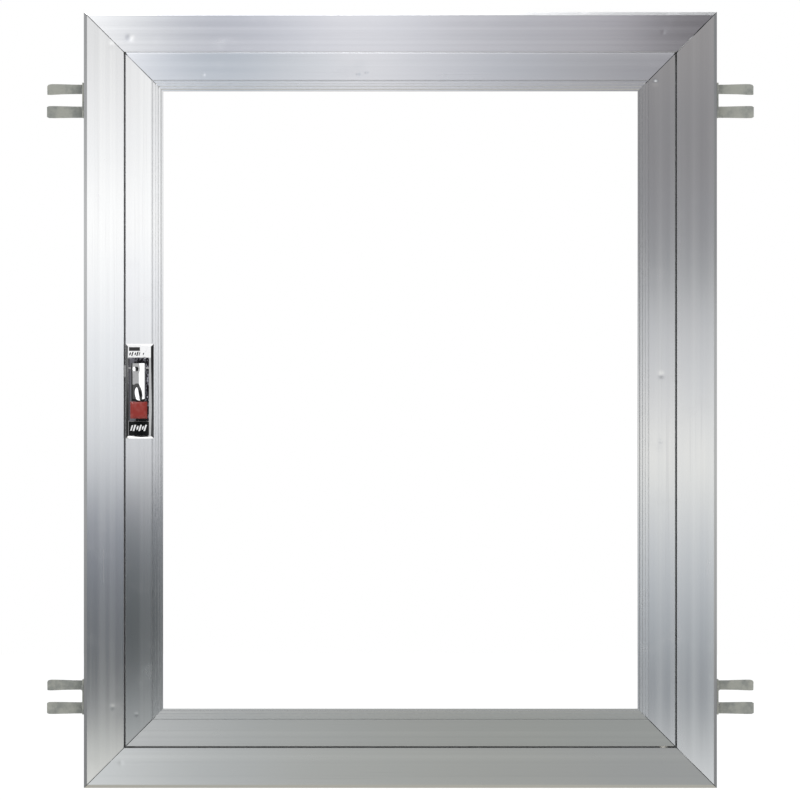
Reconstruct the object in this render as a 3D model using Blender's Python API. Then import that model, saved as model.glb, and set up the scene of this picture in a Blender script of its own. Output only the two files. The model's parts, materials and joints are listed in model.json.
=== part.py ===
"""Recessed wall cabinet door frame.

A mitred aluminium surround with forked masonry anchors carries a flush, open door leaf on two
hidden pivots at its right side. A push-button paddle latch in the left stile works a spring bolt.
The front faces -Y and the opening is centred on the Z axis, on the plane of the frame's back.

Places inside a bar are given as (u, v): u runs from the bar's outer edge towards the opening and
v runs back from the front face. Places in the latch use u from the leaf's left edge, v and height.
"""
import math

import bmesh
import bpy
from mathutils import Matrix, Vector

MM = 0.001

# Driving dimensions
WIDTH = 652.8 * MM
HEIGHT = 800.0 * MM
DEPTH = 25.0 * MM
WALL = 1.4 * MM
FIT = 0.3 * MM
MITRE_GAP = 0.25 * MM
EDGE_CHAMFER = 3.4 * MM

SURROUND_FACE = 41.5 * MM
SURROUND_LEG = 22.0 * MM
REBATE_REACH = 8.5 * MM
OUTER_LIP = 8.0 * MM
INNER_LIP = 8.0 * MM

DOOR_GAP = 1.6 * MM
DOOR_DEPTH = 15.0 * MM
DOOR_FLAT = 27.4 * MM
DOOR_LIP = 7.0 * MM
BEAD_WIDTH = 11.3 * MM
BEAD_BACK = 3.7 * MM
GROOVE_FLOOR = 25.9 * MM
GROOVE_FRONT = 1.6 * MM
GROOVE_BACK = 3.0 * MM

PIVOT_IN = 12.0 * MM
PIVOT_BACK = 5.5 * MM
PIVOT_RADIUS = 2.0 * MM
BUSH_RADIUS = 2.9 * MM
BUSH_FLANGE = 4.6 * MM

ANCHOR_HEIGHTS = {"top": 309.3 * MM, "bottom": -306.4 * MM}
ANCHOR_REACH = 38.7 * MM
ANCHOR_HALF = 18.0 * MM
PRONG_CENTRE = 11.8 * MM
PRONG_DEPTH = 19.0 * MM
SHEET = 1.5 * MM
RIVET_RADIUS = 1.6 * MM
RIVET_BACK = 11.0 * MM
RIVET_OFFSETS = (-9.0 * MM, 9.0 * MM)

SCREW_RADIUS = 1.5 * MM
SCREW_HEAD = 2.8 * MM
LIP_SCREW_IN = 36.4 * MM

# Latch: width places run from the leaf's left edge
LATCH_MIDDLE = 13.7 * MM
LATCH_HEIGHT = 9.2 * MM
BEZEL_FRONT = -2.25 * MM
BEZEL_BACK = -0.25 * MM
PAN_FLOOR = 6.6 * MM
PAN_BACK = 7.6 * MM
PADDLE_AXIS_HEIGHT = 33.0 * MM
PADDLE_AXIS_BACK = 1.5 * MM
PADDLE_PIN_RADIUS = 1.0 * MM
PADDLE_SIDES = (5.5 * MM, 20.7 * MM)
PADDLE_HEIGHTS = (-1.1 * MM, 37.8 * MM)
BUTTON_HEIGHT = -10.4 * MM
BUTTON_HALF = 8.7 * MM
STEM_RADIUS = 1.5 * MM
BOLT_FRONT = 8.2 * MM
BOLT_BACK = 11.2 * MM
BOLT_TRAVEL = 6.3 * MM
BOLT_HEIGHT = 30.0 * MM
CLAMP_SCREW_HEIGHTS = (41.5 * MM, -19.5 * MM)
STRIKE_SCREW_OFFSETS = (-15.0 * MM, 15.0 * MM)

# Derived places
FRONT = -DEPTH
DOOR_INSET = SURROUND_FACE + DOOR_GAP
DOOR_LEFT = -WIDTH / 2 + DOOR_INSET
PIVOT_X = WIDTH / 2 - DOOR_INSET - PIVOT_IN
PIVOT_Y = FRONT + PIVOT_BACK
SURROUND_INNER = HEIGHT / 2 - SURROUND_FACE
DOOR_TOP = HEIGHT / 2 - DOOR_INSET
LATCH_X = DOOR_LEFT + LATCH_MIDDLE
BOLT_CENTRE = FRONT + (BOLT_FRONT + BOLT_BACK) / 2

TURNS = {"left_stile": 0, "top_rail": 90, "right_stile": 180, "bottom_rail": -90}


# ---------------------------------------------------------------- scene and materials

def clear_scene():
    for obj in list(bpy.data.objects):
        bpy.data.objects.remove(obj, do_unlink=True)


def material(name, colour, roughness, metallic):
    made = bpy.data.materials.new(name)
    made.use_nodes = True
    shader = made.node_tree.nodes["Principled BSDF"]
    shader.inputs["Base Color"].default_value = (*colour, 1.0)
    shader.inputs["Roughness"].default_value = roughness
    shader.inputs["Metallic"].default_value = metallic
    return made


def empty(name, place, parent=None):
    made = bpy.data.objects.new(name, None)
    bpy.context.scene.collection.objects.link(made)
    made.empty_display_size = 0.02
    put(made, place, parent)
    return made


def world_place(obj):
    place = Vector((0, 0, 0))
    while obj is not None:
        place += obj.location
        obj = obj.parent
    return place


def put(obj, place, parent):
    obj.parent = parent
    obj.location = Vector(place) - world_place(parent)


def piece(name, bm, finish, origin=(0, 0, 0), parent=None, smooth=False):
    """Turn a bmesh drawn in world places into an object whose origin is at the given place."""
    bmesh.ops.recalc_face_normals(bm, faces=bm.faces)
    bmesh.ops.translate(bm, vec=-Vector(origin), verts=bm.verts)
    mesh = bpy.data.meshes.new(name)
    bm.to_mesh(mesh)
    bm.free()
    if smooth:
        mesh.shade_smooth()
        mesh.set_sharp_from_angle(angle=math.radians(35))
    mesh.materials.append(finish)
    made = bpy.data.objects.new(name, mesh)
    bpy.context.scene.collection.objects.link(made)
    put(made, origin, parent)
    return made


def soften(obj, width, segments=2):
    bevel = obj.modifiers.new("soft_edges", "BEVEL")
    bevel.width = width
    bevel.segments = segments
    bevel.limit_method = "ANGLE"
    bevel.angle_limit = math.radians(40)


def combine(target, bm, operation, name):
    """Cut a shape out of an object, or join one to it, with an exact boolean."""
    tool = piece(name, bm, target.data.materials[0])
    tool.hide_render = True
    tool.display_type = "WIRE"
    boolean = target.modifiers.new(name, "BOOLEAN")
    boolean.operation = operation
    boolean.solver = "EXACT"
    boolean.object = tool


def cut(target, bm, name):
    combine(target, bm, "DIFFERENCE", name)


def join(target, bm, name):
    combine(target, bm, "UNION", name)


# ---------------------------------------------------------------- shapes drawn into a bmesh

def add_rings(bm, rings, closed=False):
    """Skin a row of equal rings of points; closed joins the last ring to the first."""
    made = [[bm.verts.new(point) for point in ring] for ring in rings]
    pairs = list(zip(made, made[1:]))
    if closed:
        pairs.append((made[-1], made[0]))
    else:
        bm.faces.new(made[0])
        bm.faces.new(made[-1])
    count = len(rings[0])
    for ring, following in pairs:
        for i in range(count):
            j = (i + 1) % count
            bm.faces.new((ring[i], ring[j], following[j], following[i]))


def add_block(bm, low, high):
    ring = [(low[0], low[2]), (high[0], low[2]), (high[0], high[2]), (low[0], high[2])]
    add_rings(bm, [[(x, y, z) for x, z in ring] for y in (low[1], high[1])])


def add_prism(bm, outline, axis, low, high):
    """Extrude an outline along an axis; its points are the other two coordinates in X, Y, Z order."""
    place = {
        "x": lambda a, b, along: (along, a, b),
        "y": lambda a, b, along: (a, along, b),
        "z": lambda a, b, along: (a, b, along),
    }[axis]
    add_rings(bm, [[place(a, b, along) for a, b in outline] for along in (low, high)])


def add_turned(bm, origin, axis, profile, segments=16, closed=False):
    """Turn a profile of (distance along the axis, radius) about an axis through the origin."""
    frame = Vector(axis).to_track_quat("Z", "Y").to_matrix()
    rings = []
    for distance, radius in profile:
        ring = []
        for i in range(segments):
            turn = 2 * math.pi * (i + 0.5) / segments
            offset = Vector((radius * math.cos(turn), radius * math.sin(turn), distance))
            ring.append(Vector(origin) + frame @ offset)
        rings.append(ring)
    add_rings(bm, rings, closed)


def add_rod(bm, start, end, radius, segments=16):
    way = Vector(end) - Vector(start)
    add_turned(bm, start, way.normalized(), [(0, radius), (way.length, radius)], segments)


def arc(centre, radius, start, end, steps):
    """Points of an arc, with angles in degrees."""
    points = []
    for i in range(steps + 1):
        angle = math.radians(start + (end - start) * i / steps)
        points.append((centre[0] + radius * math.cos(angle), centre[1] + radius * math.sin(angle)))
    return points


def block(low, high):
    bm = bmesh.new()
    add_block(bm, low, high)
    return bm


def prism(outline, axis, low, high):
    bm = bmesh.new()
    add_prism(bm, outline, axis, low, high)
    return bm


def turned(origin, axis, profile, segments=16, closed=False):
    bm = bmesh.new()
    add_turned(bm, origin, axis, profile, segments, closed)
    return bm


def rods(ends, radius, segments=16):
    bm = bmesh.new()
    for start, end in ends:
        add_rod(bm, start, end, radius, segments)
    return bm


def wire(name, points, radius, finish, origin, parent):
    """A bent wire with round section and closed ends."""
    curve = bpy.data.curves.new(name, "CURVE")
    curve.dimensions = "3D"
    spline = curve.splines.new("POLY")
    spline.points.add(len(points) - 1)
    for spot, point in zip(spline.points, points):
        spot.co = (*(Vector(point) - Vector(origin)), 1.0)
    curve.bevel_depth = radius
    curve.bevel_resolution = 1
    curve.use_fill_caps = True
    curve.materials.append(finish)
    made = bpy.data.objects.new(name, curve)
    bpy.context.scene.collection.objects.link(made)
    put(made, origin, parent)


def screw(name, head, axis, length, head_height, finish, parent=None):
    """A slotted pan-head screw; axis points from the head's seat out of the head."""
    profile = [
        (-length, SCREW_RADIUS * 0.7),
        (-length + 0.6 * MM, SCREW_RADIUS),
        (0, SCREW_RADIUS),
        (0, SCREW_HEAD),
        (head_height * 0.55, SCREW_HEAD),
        (head_height, SCREW_HEAD * 0.72),
    ]
    made = piece(name, turned(head, axis, profile, 20), finish, head, parent, smooth=True)
    top = Vector(head) + Vector(axis) * head_height
    half = Vector((0.4 * MM, 0.5 * MM, 4.0 * MM))
    cut(made, block(top - half, top + half), name + "_slot_tool")


# ---------------------------------------------------------------- mitred bars

def surround_outline():
    """Channel with a chamfered outer edge, two back lips and a rebate stop behind the leaf."""
    back = DEPTH
    stop = SURROUND_LEG
    leg = SURROUND_FACE - WALL
    corner = 0.4 * MM
    inner = EDGE_CHAMFER + WALL * (math.sqrt(2) - 1)
    return [
        (OUTER_LIP, back - WALL), (OUTER_LIP, back), (0, back), (0, EDGE_CHAMFER), (EDGE_CHAMFER, 0),
        (SURROUND_FACE - corner, 0), (SURROUND_FACE, corner), (SURROUND_FACE, stop),
        (SURROUND_FACE + REBATE_REACH, stop), (SURROUND_FACE + REBATE_REACH, stop + WALL),
        (SURROUND_FACE - INNER_LIP, stop + WALL), (SURROUND_FACE - INNER_LIP, stop),
        (leg, stop), (leg, WALL), (inner, WALL), (WALL, inner), (WALL, back - WALL),
    ]


def door_outline():
    """Channel with back lips and, in its inner wall, a groove that the bead's tongue snaps into."""
    leg = DOOR_FLAT - WALL
    back = DOOR_DEPTH
    corner = 0.5 * MM
    edge = 0.3 * MM
    root = GROOVE_FLOOR - WALL
    return [
        (DOOR_LIP, back - WALL), (DOOR_LIP, back), (0, back), (0, corner), (corner, 0),
        (DOOR_FLAT - edge, 0), (DOOR_FLAT, edge), (DOOR_FLAT, GROOVE_FRONT),
        (GROOVE_FLOOR, GROOVE_FRONT), (GROOVE_FLOOR, GROOVE_BACK), (DOOR_FLAT, GROOVE_BACK),
        (DOOR_FLAT, back), (DOOR_FLAT - DOOR_LIP, back), (DOOR_FLAT - DOOR_LIP, back - WALL),
        (leg, back - WALL), (leg, GROOVE_BACK + WALL), (root, GROOVE_BACK + WALL), (root, WALL),
        (WALL, WALL), (WALL, back - WALL),
    ]


def bead_outline():
    """Stepped strip over the infill's rebate, with a tongue on its outer edge."""
    start = DOOR_FLAT + FIT
    edge = DOOR_FLAT + BEAD_WIDTH
    steps = [
        (0.85, 1.0), (1.15, 0.15), (3.0, 0.15), (3.6, 0.85), (4.6, 0.85), (4.95, 0.5), (5.95, 0.5),
        (6.75, 1.4), (7.6, 1.4), (8.0, 1.1), (8.8, 1.1), (9.6, 2.0), (10.9, 2.2), (11.3, 2.6),
    ]
    tongue_front = GROOVE_FRONT + FIT
    tongue_back = GROOVE_BACK - FIT
    return [
        (start, 1.0 * MM), *[(DOOR_FLAT + u * MM, v * MM) for u, v in steps], (edge, BEAD_BACK),
        (start, BEAD_BACK), (start, tongue_back), (GROOVE_FLOOR + FIT, tongue_back),
        (GROOVE_FLOOR + FIT, tongue_front), (start, tongue_front),
    ]


def mitred_bar(name, side, outline, inset, finish, parent=None):
    """One bar of a mitred frame, drawn upright at the left and turned to its side."""
    upright = side in ("left_stile", "right_stile")
    half_length = (HEIGHT if upright else WIDTH) / 2 - inset
    half_span = (WIDTH if upright else HEIGHT) / 2 - inset
    bm = bmesh.new()
    add_rings(bm, [
        [(u, v, way * (half_length - u - MITRE_GAP)) for u, v in outline] for way in (-1, 1)
    ])
    made = piece(name, bm, finish)
    turn = Matrix.Rotation(math.radians(TURNS[side]), 3, "Y")
    inward = turn @ Vector((1, 0, 0))
    made.rotation_euler = turn.to_euler()
    put(made, Vector((0, FRONT, 0)) - inward * half_span, parent)
    return made


def corner_key(name, across, up, inset, start, band, arm, front, back, finish, parent=None):
    """An L-shaped cast key that joins two bars inside their channels."""
    outline = [(0, 0), (arm, 0), (arm, band), (band, band), (band, arm), (0, arm)]
    corner = (across * (WIDTH / 2 - inset - start), up * (HEIGHT / 2 - inset - start))
    points = [(corner[0] - across * a, corner[1] - up * b) for a, b in outline]
    origin = (corner[0], FRONT + front, corner[1])
    made = piece(name, prism(points, "y", FRONT + front, FRONT + back), finish, origin, parent)
    soften(made, 0.6 * MM, 1)
    return made


# ---------------------------------------------------------------- surround

def anchor_prong(side, height, stations):
    """A sheet prong lofted through stations of (reach, depth, drop, band, twist)."""
    rings = []
    for reach, depth, drop, band, twist in stations:
        turn = math.radians(twist)
        x = side * (WIDTH / 2 + reach * ANCHOR_REACH)
        ring = []
        for thick, rise in ((-0.5, -0.5), (0.5, -0.5), (0.5, 0.5), (-0.5, 0.5)):
            y = thick * SHEET * math.cos(turn) - rise * band * MM * math.sin(turn)
            z = thick * SHEET * math.sin(turn) + rise * band * MM * math.cos(turn)
            ring.append((x, FRONT + PRONG_DEPTH + depth * MM + y, height - drop * MM + z))
        rings.append(ring)
    bm = bmesh.new()
    add_rings(bm, rings)
    return bm


# Reach as a share of the whole, then millimetres back, down and wide, and degrees of twist
UPPER_PRONG = (
    (0.03, 0.0, 0.0, 9.6, 0), (0.3, 0.0, 0.0, 9.8, 0), (0.58, 0.3, -0.1, 10.4, 3),
    (0.8, 0.9, 0.0, 11.0, 6), (0.9, 1.4, 0.1, 11.1, 8), (0.97, 1.9, 0.4, 10.4, 9),
    (1.0, 2.2, 0.9, 8.6, 10),
)
LOWER_PRONG = (
    (0.03, 0.0, 0.0, 11.6, 0), (0.3, -0.2, 0.0, 11.7, 0), (0.58, -1.1, 0.0, 12.2, 0),
    (0.8, -2.1, 0.0, 12.5, 0), (0.95, -2.8, 0.0, 12.3, 0), (1.0, -3.1, 0.0, 10.2, 0),
)


def wall_anchor(name, side, height, finish):
    """A galvanised sheet anchor: a riveted base with two splayed prongs."""
    outer = sorted((side * (WIDTH / 2 + FIT), side * (WIDTH / 2 + FIT + SHEET)))
    base = block(
        (outer[0], FRONT + 5.0 * MM, height - ANCHOR_HALF),
        (outer[1], FRONT + 20.0 * MM, height + ANCHOR_HALF),
    )
    made = piece(name, base, finish, (side * WIDTH / 2, FRONT + 12.0 * MM, height))
    join(made, anchor_prong(side, height + PRONG_CENTRE, UPPER_PRONG), name + "_upper_tool")
    join(made, anchor_prong(side, height - PRONG_CENTRE, LOWER_PRONG), name + "_lower_tool")
    cut(made, rods(rivet_lines(side, height), RIVET_RADIUS + FIT), name + "_rivet_tool")


def rivet_lines(side, height):
    """Lines through the base of an anchor and the surround's outer wall."""
    lines = []
    for offset in RIVET_OFFSETS:
        place = Vector((side * WIDTH / 2, FRONT + RIVET_BACK, height + offset))
        reach = Vector((side * 4 * MM, 0, 0))
        lines.append((place - reach, place + reach))
    return lines


def rivet(name, side, height, finish):
    outside = FIT + SHEET + FIT
    inside = -WALL - FIT
    profile = [
        (inside - 1.2 * MM, 1.5 * MM), (inside - 0.5 * MM, 2.3 * MM), (inside, 2.4 * MM),
        (inside, RIVET_RADIUS), (outside, RIVET_RADIUS), (outside, 2.7 * MM),
        (outside + 0.6 * MM, 2.4 * MM), (outside + 1.2 * MM, 1.2 * MM),
    ]
    place = (side * WIDTH / 2, FRONT + RIVET_BACK, height)
    piece(name, turned(place, (side, 0, 0), profile), finish, place, smooth=True)


def bolt_slot(u_low, u_high):
    """The window that the bolt passes through, from one place across the bars to another."""
    room = 0.5 * MM
    return block(
        (DOOR_LEFT + u_low, FRONT + BOLT_FRONT - room, BOLT_HEIGHT - 6 * MM - room),
        (DOOR_LEFT + u_high, FRONT + BOLT_BACK + room, BOLT_HEIGHT + 6 * MM + room),
    )


def build_surround(metal, cast, zinc, steel):
    bars = {
        side: mitred_bar("surround_" + side, side, surround_outline(), 0, metal) for side in TURNS
    }
    for side, label in ((-1, "left"), (1, "right")):
        lines = [line for height in ANCHOR_HEIGHTS.values() for line in rivet_lines(side, height)]
        holes = rods(lines, RIVET_RADIUS + FIT)
        cut(bars[label + "_stile"], holes, "surround_" + label + "_rivet_tool")
        for up, level in ((1, "top"), (-1, "bottom")):
            where = level + "_" + label
            corner_key(
                "surround_key_" + where, side, up, 0, 4 * MM, 20 * MM, 70 * MM,
                1.8 * MM, 7.5 * MM, cast,
            )
            height = ANCHOR_HEIGHTS[level]
            wall_anchor("wall_anchor_" + where, side, height, zinc)
            for number, offset in enumerate(RIVET_OFFSETS, 1):
                rivet(f"anchor_rivet_{where}_{number}", side, height + offset, steel)
    build_strike(bars["left_stile"], zinc, steel)
    for up, level in ((1, "top"), (-1, "bottom")):
        build_pivot(bars[level + "_rail"], up, level, cast, steel)


def build_strike(stile, zinc, steel):
    """Slotted plate behind the stile's inner wall, held by two screws through the back lip."""
    plate = -WIDTH / 2 + SURROUND_FACE - WALL - FIT
    foot = -WIDTH / 2 + SURROUND_FACE - INNER_LIP
    back = FRONT + SURROUND_LEG - FIT
    half = 22 * MM
    outline = [
        (plate, FRONT + 3 * MM), (plate, back), (foot, back), (foot, back - SHEET),
        (plate - SHEET, back - SHEET), (plate - SHEET, FRONT + 3 * MM),
    ]
    strike = piece(
        "strike_plate", prism(outline, "z", BOLT_HEIGHT - half, BOLT_HEIGHT + half), zinc,
        (plate, back, BOLT_HEIGHT),
    )
    cut(strike, bolt_slot(-8 * MM, -2 * MM), "strike_slot_tool")
    cut(stile, bolt_slot(-3.2 * MM, -1 * MM), "surround_slot_tool")
    x = -WIDTH / 2 + LIP_SCREW_IN
    for number, offset in enumerate(STRIKE_SCREW_OFFSETS, 1):
        height = BOLT_HEIGHT + offset
        lip_screw(f"strike_screw_{number}", x, height, 7 * MM, strike, stile, steel)


def lip_screw(name, x, z, length, held, bar, steel):
    """A thin-headed screw from behind, through a bar's back lip into the piece it holds."""
    seat = FRONT + SURROUND_LEG + WALL + FIT
    tip = seat - length
    hole = [((x, tip - FIT, z), (x, seat, z))]
    cut(held, rods(hole, SCREW_RADIUS + FIT), name + "_thread_tool")
    lip = [((x, seat - 3 * MM, z), (x, seat, z))]
    cut(bar, rods(lip, SCREW_RADIUS + 0.4 * MM), name + "_lip_tool")
    screw(name, (x, seat, z), (0, 1, 0), length, 1.1 * MM, steel)


def build_pivot(rail, up, level, cast, steel):
    """Cast block and pin that carry one end of the leaf from inside the surround's rail."""
    inner = SURROUND_INNER + WALL + FIT
    heights = sorted((up * inner, up * (inner + 11.8 * MM)))
    holder = piece(
        "pivot_block_" + level,
        block(
            (PIVOT_X - 9 * MM, FRONT + 1.8 * MM, heights[0]),
            (PIVOT_X + 9 * MM, FRONT + SURROUND_LEG - FIT, heights[1]),
        ),
        cast, (PIVOT_X, PIVOT_Y, up * inner),
    )
    soften(holder, 0.6 * MM, 1)
    pin_root = inner + 9.0 * MM
    pin_tip = DOOR_TOP - 13.5 * MM
    axis_low = Vector((PIVOT_X, PIVOT_Y, 0))
    rise = Vector((0, 0, up))
    bore = [(axis_low + rise * (SURROUND_INNER - 1 * MM), axis_low + rise * (pin_root + FIT))]
    cut(holder, rods(bore, PIVOT_RADIUS + FIT), f"pivot_block_{level}_bore_tool")
    cut(rail, rods(bore, PIVOT_RADIUS + FIT), f"surround_{level}_pivot_tool")
    profile = [
        (pin_tip, PIVOT_RADIUS * 0.7), (pin_tip + 0.8 * MM, PIVOT_RADIUS), (pin_root, PIVOT_RADIUS),
    ]
    piece(
        "pivot_pin_" + level, turned(axis_low, rise, profile, 20), steel,
        axis_low + rise * SURROUND_INNER, smooth=True,
    )
    height = up * (HEIGHT / 2 - LIP_SCREW_IN)
    lip_screw("pivot_screw_" + level, PIVOT_X, height, 11.5 * MM, holder, rail, steel)


# ---------------------------------------------------------------- door leaf

def build_leaf(pivot, metal, cast, nylon):
    bars = {
        side: mitred_bar("door_" + side, side, door_outline(), DOOR_INSET, metal, pivot)
        for side in TURNS
    }
    for side in TURNS:
        name = "door_bead_" + side.split("_")[0]
        mitred_bar(name, side, bead_outline(), DOOR_INSET, metal, pivot)
    keys = {}
    for side, label in ((-1, "left"), (1, "right")):
        for up, level in ((1, "top"), (-1, "bottom")):
            where = level + "_" + label
            keys[where] = corner_key(
                "door_key_" + where, side, up, DOOR_INSET, 2 * MM, 22 * MM, 50 * MM,
                1.8 * MM, 12.9 * MM, cast, pivot,
            )
    for up, level in ((1, "top"), (-1, "bottom")):
        axis_low = Vector((PIVOT_X, PIVOT_Y, 0))
        rise = Vector((0, 0, up))
        floor = DOOR_TOP - 14.3 * MM
        bore = [(axis_low + rise * floor, axis_low + rise * (DOOR_TOP + 1 * MM))]
        cut(bars[level + "_rail"], rods(bore, BUSH_RADIUS + FIT), f"door_{level}_bush_tool")
        cut(keys[level + "_right"], rods(bore, BUSH_RADIUS + FIT), f"door_key_{level}_bush_tool")
        seat = DOOR_TOP + FIT
        bore_radius = PIVOT_RADIUS + FIT
        profile = [
            (floor + FIT, bore_radius), (floor + FIT, BUSH_RADIUS), (seat, BUSH_RADIUS),
            (seat, BUSH_FLANGE), (seat + 1 * MM, BUSH_FLANGE), (seat + 1 * MM, bore_radius),
        ]
        piece(
            "pivot_bush_" + level, turned(axis_low, rise, profile, 20, closed=True), nylon,
            axis_low + rise * DOOR_TOP, pivot, smooth=True,
        )
    window = block(latch_place(1.9, -1, -22.9), latch_place(25.5, 4.7, 44.9))
    cut(bars["left_stile"], window, "door_latch_window_tool")
    cut(bars["left_stile"], bolt_slot(-1 * MM, 2 * MM), "door_bolt_slot_tool")


# ---------------------------------------------------------------- latch

def latch_place(u, v, height):
    """World place in the latch from millimetres across, back and up."""
    return Vector((DOOR_LEFT + u * MM, FRONT + v * MM, height * MM))


def latch_ring(u_low, u_high, low, high, v):
    corners = ((u_low, low), (u_high, low), (u_high, high), (u_low, high))
    return [latch_place(u, v, height) for u, height in corners]


def build_latch_body(pivot, chrome):
    """Bezel with bevelled edges and a pan that holds the paddle and button."""
    front = BEZEL_FRONT / MM
    seat = BEZEL_BACK / MM
    back = PAN_BACK / MM
    bm = bmesh.new()
    add_rings(bm, [
        latch_ring(3.7, 23.7, -21.0, 43.0, PAN_FLOOR / MM),
        latch_ring(3.1, 24.3, -21.7, 43.7, front),
        latch_ring(2.8, 26.3, -37.1, 55.1, front),
        latch_ring(0.2, 29.2, -39.5, 57.9, front + 1.4),
        latch_ring(0.2, 29.2, -39.5, 57.9, seat),
        latch_ring(2.2, 25.2, -22.6, 44.6, seat),
        latch_ring(2.2, 25.2, -22.6, 44.6, back),
    ])
    origin = (LATCH_X, FRONT, LATCH_HEIGHT)
    body = piece("latch_body", bm, chrome, origin, pivot)

    middle = LATCH_MIDDLE / MM
    bosses = bmesh.new()
    for height in CLAMP_SCREW_HEIGHTS:
        start = latch_place(middle, back - 0.5, height / MM)
        add_rod(bosses, start, start + Vector((0, 4.1 * MM, 0)), 3.2 * MM, 20)
    add_block(bosses, latch_place(22.0, back - 0.5, 19.9), latch_place(24.2, 11.2, 24.1))
    join(body, bosses, "latch_boss_tool")

    axis = PADDLE_AXIS_HEIGHT / MM
    holes = bmesh.new()
    pin_back = PADDLE_AXIS_BACK / MM
    add_rod(
        holes, latch_place(1.5, pin_back, axis), latch_place(26, pin_back, axis),
        PADDLE_PIN_RADIUS + FIT,
    )
    for height in CLAMP_SCREW_HEIGHTS:
        start = latch_place(middle, back - 0.3, height / MM)
        add_rod(holes, start, start + Vector((0, 5 * MM, 0)), SCREW_RADIUS + FIT)
    stem = latch_place(middle, 5, BUTTON_HEIGHT / MM)
    add_rod(holes, stem, stem + Vector((0, 4 * MM, 0)), STEM_RADIUS + FIT)
    add_block(
        holes, latch_place(middle - 2.1, 5.5, axis - 6.6), latch_place(middle + 2.1, 8.2, axis + 1.7),
    )
    cut(body, holes, "latch_hole_tool")


def build_clamp(pivot, zinc, steel):
    """Hat-shaped bracket that grips the leaf's back lips and guides the bolt."""
    outline = [
        (1.0, 15.3), (7.5, 15.3), (7.5, 11.5), (19.9, 11.5), (19.9, 15.3), (26.4, 15.3),
        (26.4, 16.8), (18.4, 16.8), (18.4, 13.0), (9.0, 13.0), (9.0, 16.8), (1.0, 16.8),
    ]
    points = [(DOOR_LEFT + u * MM, FRONT + v * MM) for u, v in outline]
    clamp = piece(
        "latch_clamp", prism(points, "z", -27 * MM, 49 * MM), zinc,
        (LATCH_X, FRONT + 15.3 * MM, LATCH_HEIGHT), pivot,
    )
    middle = LATCH_MIDDLE / MM
    holes = bmesh.new()
    for height in CLAMP_SCREW_HEIGHTS:
        start = latch_place(middle, 11, height / MM)
        add_rod(holes, start, start + Vector((0, 3 * MM, 0)), SCREW_RADIUS + FIT)
    stem = latch_place(middle, 11, BUTTON_HEIGHT / MM)
    add_rod(holes, stem, stem + Vector((0, 3 * MM, 0)), 4 * MM, 20)
    cut(clamp, holes, "latch_clamp_hole_tool")
    for number, height in enumerate(CLAMP_SCREW_HEIGHTS, 1):
        head = latch_place(middle, 13.3, height / MM)
        screw(f"clamp_screw_{number}", head, (0, 1, 0), 5.6 * MM, 1.6 * MM, steel, pivot)


def paddle_outline():
    """Side view of the paddle as (depth, height), with its round knuckle at the pin."""
    front = -1.9
    back = 1.2
    knuckle = 2.6
    low, high = (height / MM for height in PADDLE_HEIGHTS)
    axis = (PADDLE_AXIS_BACK / MM, PADDLE_AXIS_HEIGHT / MM)
    reach = math.degrees(math.acos((back - axis[0]) / knuckle))
    points = [
        (front, high - 1.0), (front + 0.9, high), (back, high), *arc(axis, knuckle, reach, -reach, 10),
        (back, low), (front + 1.2, low), (front, low + 1.5),
    ]
    return [(FRONT + v * MM, height * MM) for v, height in points]


def build_paddle(pivot, chrome):
    """Flush paddle with a finger scoop, a tail that works the bolt and a notch for its spring."""
    axis = PADDLE_AXIS_HEIGHT / MM
    back = PADDLE_AXIS_BACK / MM
    middle = LATCH_MIDDLE / MM
    left, right = (DOOR_LEFT + side for side in PADDLE_SIDES)
    paddle = piece(
        "latch_paddle", prism(paddle_outline(), "x", left, right), chrome,
        world_place(pivot), pivot, smooth=True,
    )
    soften(paddle, 0.35 * MM, 1)
    tail = block(
        latch_place(middle - 1.5, 3.0, axis - 1.25), latch_place(middle + 1.5, 11.0, axis + 1.25),
    )
    join(paddle, tail, "paddle_tail_tool")
    scoop = bmesh.new()
    bmesh.ops.create_uvsphere(scoop, u_segments=20, v_segments=12, radius=1.0)
    bmesh.ops.scale(scoop, vec=(6.4 * MM, 5.2 * MM, 15.5 * MM), verts=scoop.verts)
    bmesh.ops.translate(scoop, vec=latch_place(middle - 0.6, -5.6, 13.5), verts=scoop.verts)
    cut(paddle, scoop, "paddle_scoop_tool")
    hollow = rods(
        [(latch_place(middle - 9, back, axis), latch_place(middle + 9, back, axis))],
        PADDLE_PIN_RADIUS + FIT,
    )
    cut(paddle, hollow, "paddle_pin_tool")
    notch = block(latch_place(middle + 1.9, -0.7, 26.0), latch_place(middle + 6.0, 6.0, 36.6))
    cut(paddle, notch, "paddle_notch_tool")


def build_paddle_pin(pivot, steel):
    back = PADDLE_AXIS_BACK / MM
    height = PADDLE_AXIS_HEIGHT / MM
    ends = (latch_place(2.4, back, height), latch_place(25.0, back, height))
    piece("paddle_pin", rods([ends], PADDLE_PIN_RADIUS), steel, ends[0], pivot, smooth=True)


def coil(start, axis, turns, length, radius, first_turn, steps=8):
    """Points along a helix; the turn angle starts at first_turn degrees."""
    frame = Vector(axis).to_track_quat("Z", "Y").to_matrix()
    points = []
    count = round(turns * steps)
    for i in range(count + 1):
        angle = math.radians(first_turn) + 2 * math.pi * turns * i / count
        offset = Vector((radius * math.cos(angle), radius * math.sin(angle), length * i / count))
        points.append(Vector(start) + frame @ offset)
    return points


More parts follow.
